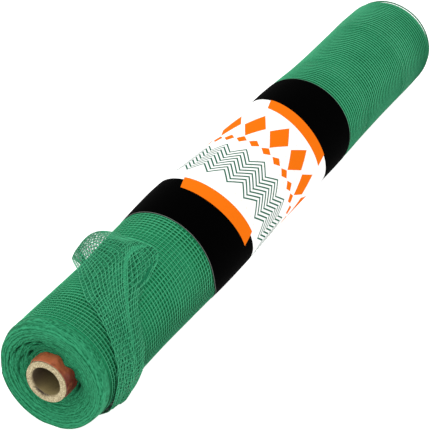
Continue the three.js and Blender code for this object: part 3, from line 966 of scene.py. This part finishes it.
def slack_point(along, across, off=0.0):
    """A point of the slack cloth: along runs round the roll, across from its near edge to its far edge."""
    angle = SLACK[0][0] + (SLACK[-1][0] - SLACK[0][0]) * along
    near, crease, far, edge_lift, crease_lift, pleat = (curved(SLACK, angle, k) for k in range(1, 7))
    loop = smoothstep((edge_lift - 5) / 6)
    if across < SLACK_CREASE:
        share = across / SLACK_CREASE
        at, foot = near + (crease - near) * share, edge_lift
        rise = smoothstep(share) * (1 - loop) + (1 - (1 - share) ** 3) * loop
    else:
        share = (across - SLACK_CREASE) / (1 - SLACK_CREASE)
        at, foot = crease + (far - crease) * share, 0.0
        rise = smoothstep(1 - share) * (1 - loop) + (1 - share**2) * loop
    fold = math.sin(across * SLACK_PLEATS * math.pi) ** 2 * math.sin(across * math.pi)
    rumple = 0.5 * ripple(along * RUMPLE_AROUND, across * RUMPLE_ACROSS, 0, 38) * min(1, crease_lift / 6)
    corner = 2.6 * near_line(at, angle, BAND_LINE) - 3.5 * near_line(at, angle, VALLEY_LINE)
    lift = foot + (crease_lift - foot) * rise
    stand_off = max(SLACK_LEAST, SLACK_SEAT + lift + pleat * fold + rumple + corner)
    return net_point(at, angle, stand_off + off, SLACK_LEAST + off)


def bunched(point):
    """How far the threads are bunched at a point of the slack cloth, and how far in the corner's valley."""
    x, y, z = (value / MM for value in point)
    at, angle = x + NET_LENGTH / 2, math.degrees(math.atan2(z - LINE_AXIS, y)) % 360
    gathered = max(near_line(at, angle, CREASE_LINE), 0.7 * near_line(at, angle, BAND_LINE))
    return gathered, near_line(at, angle, VALLEY_LINE)


def slack_finish():
    paint = Finish("slack_net")
    along, across, _ = paint.split(paint.node("UVMap", {"uv_map": "cloth"}))
    drift = paint.mottle(paint.object_place(), 26, 2)
    rounds = (across + along * 0.05 + drift * 0.005).lines(0.0074, 0.0023)
    ribs = (along + across * 0.16 + drift * 0.006).lines(0.0078, 0.0023)
    loop = along.ease(0.165, 0.130)
    knots = paint.mottle(paint.object_place(), 330, 2).ease(0.54, 0.60) * (1 - loop)
    hem = across.ease(0.0050, 0.0025) * loop
    # Painted shade in small spots, where some threads lie in shade.
    shade_mottle = paint.mottle(paint.object_place(), 250, 2).ease(0.56, 0.44)
    merged = (along / SLACK_FLAT[1] - SLACK_MERGES).ease(0.0, 0.04) * (across / SLACK_WIDTH).ease(0.80, 1.0)
    valley, gathered = paint.attribute("valley"), paint.attribute("gathered")
    fine = across.lines(0.0037, 0.0005).larger((along + across * 0.3).lines(0.0039, 0.0005)) * loop
    # Painted shade: the cloth's low end, under the roll, is made solid and painted dark.
    shaded_low_end = along.ease(0.395, 0.425)
    soft = (across * 1.1 - along * 0.8).lines(0.0034, 0.0014) * 0.3 + 0.7
    threads = (rounds.larger(ribs).larger(knots) * (1 - merged)).larger(fine)
    threads = threads.larger(valley.ease(0.1, 0.7)).larger(gathered.ease(0.1, 0.7) * soft)
    threads = threads.larger(shaded_low_end).larger(hem)
    colour = paint.mix(drift, (0.018, 0.210, 0.094), (0.032, 0.265, 0.124))
    colour = paint.mix(shade_mottle * 0.85, colour, (0.003, 0.110, 0.042))
    bunch = paint.mix(drift, (0.022, 0.232, 0.105), (0.034, 0.272, 0.130))
    colour = paint.mix(gathered.ease(0.1, 0.8), colour, bunch)
    # Painted shade in the corner's valley.
    colour = paint.mix(valley.ease(0.0, 1.0), colour, (0.006, 0.150, 0.064))
    # Painted shade on the loop that stands off behind the roll, and along its hem.
    colour = paint.mix(loop * 0.45 + hem * 0.4, colour, (0.024, 0.225, 0.125))
    colour = paint.mix(shaded_low_end * 0.6, colour, (0.002, 0.085, 0.032))
    return paint.surface(colour, roughness=0.7, specular_ior_level=0.08, alpha=threads * (0.9 - loop * 0.22))


def slack_cloth():
    corners = [
        slack_point(i / SLACK_ROWS, j / SLACK_COLUMNS)
        for i in range(SLACK_ROWS + 1) for j in range(SLACK_COLUMNS + 1)]
    faces = []
    for i in range(SLACK_ROWS):
        for j in range(SLACK_COLUMNS):
            a = i * (SLACK_COLUMNS + 1) + j
            b = a + SLACK_COLUMNS + 1
            faces.append((a, b, b + 1, a + 1))
    mesh = bpy.data.meshes.new("slack_net")
    mesh.from_pydata(corners, [], faces)
    mesh.shade_smooth()
    gathered, valley = zip(*(bunched(corner) for corner in corners))
    mesh.attributes.new("valley", "FLOAT", "POINT").data.foreach_set("value", valley)
    mesh.attributes.new("gathered", "FLOAT", "POINT").data.foreach_set("value", gathered)
    made = add_object("slack_net", mesh, slack_finish())
    uv = mesh.uv_layers.new(name="cloth")
    for loop in mesh.loops:
        i, j = divmod(loop.vertex_index, SLACK_COLUMNS + 1)
        uv.data[loop.index].uv = (i / SLACK_ROWS * SLACK_FLAT[1], j / SLACK_COLUMNS * SLACK_WIDTH)
    return made


def slack_shade(x, y, z):
    """The slack end's threads are shaded behind and low down, and a little all over."""
    return (y.ease(0.058, 0.078) * 0.45).larger(z.ease(0.095, 0.030) * 0.5).larger(0.12)


def thread_point(along, across):
    """A point of a thread over the slack cloth; where the cloth is bunched, the thread sinks into it."""
    crease, valley = bunched(slack_point(along, across))
    return slack_point(along, across, 0.8 - 1.3 * smoothstep(crease * 1.2) - 1.9 * smoothstep(valley * 1.3))


def slack_paths():
    """Threads of the slack cloth's upper layer, pulled askew."""
    paths = []
    rounds, ribs = round(SLACK_WIDTH / SLACK_PITCH / MM), round(SLACK_FLAT[1] / SLACK_PITCH / MM)
    for k in range(rounds + 1):
        base = k / rounds
        count = SLACK_ROUND_STEPS + 1
        paths.append(([
            thread_point(
                i / SLACK_ROUND_STEPS,
                min(1, max(0, base + 0.018 * ripple(i * 3, base * RUMPLE_ACROSS, 30, 40))))
            for i in range(count if base < 0.9 else round(count * SLACK_MERGES))], False))
    for k in range(ribs + 1):
        base = k / ribs
        points = []
        last = 1.0 if base < SLACK_MERGES else 0.90 + 0.08 * ripple(base * RUMPLE_AROUND, 5, 0, 9)
        for j in range(SLACK_RIB_STEPS + 1):
            across = j / SLACK_RIB_STEPS * last
            askew = 0.005 * ripple(base * RUMPLE_AROUND, across * RUMPLE_ACROSS, 50, 30)
            along = base + 0.022 * (across - 0.5) + askew
            points.append(thread_point(min(1, max(0, along)), across))
        paths.append((points, False))
    return paths


SELVEDGE_STEPS = 200
SELVEDGE_CORD_WIDTH = 1.25
SELVEDGE_CORDS = (  # place across the cloth, lift, first step, last step
    (0.004, 0.4, 0, 58), (1, 0.5, 62, 98), (0.988, 0.8, 66, 92), (0.974, 0.6, 70, 86),
)
slack_net = slack_cloth()
SLACK_FINISH = thread_finish("slack_thread", slack_shade)
slack_threads = threads_along("slack_threads", slack_paths(), SLACK_THREAD_WIDTH, SLACK_FINISH)
cord_paths = [
    ([slack_point(i / SELVEDGE_STEPS, edge, lift) for i in range(first, last)], False)
    for edge, lift, first, last in SELVEDGE_CORDS]
selvedges = threads_along("selvedge_cords", cord_paths, SELVEDGE_CORD_WIDTH, SLACK_FINISH)
for piece in (slack_net, slack_threads, selvedges):
    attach(piece, "root")
    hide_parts("loose_end")
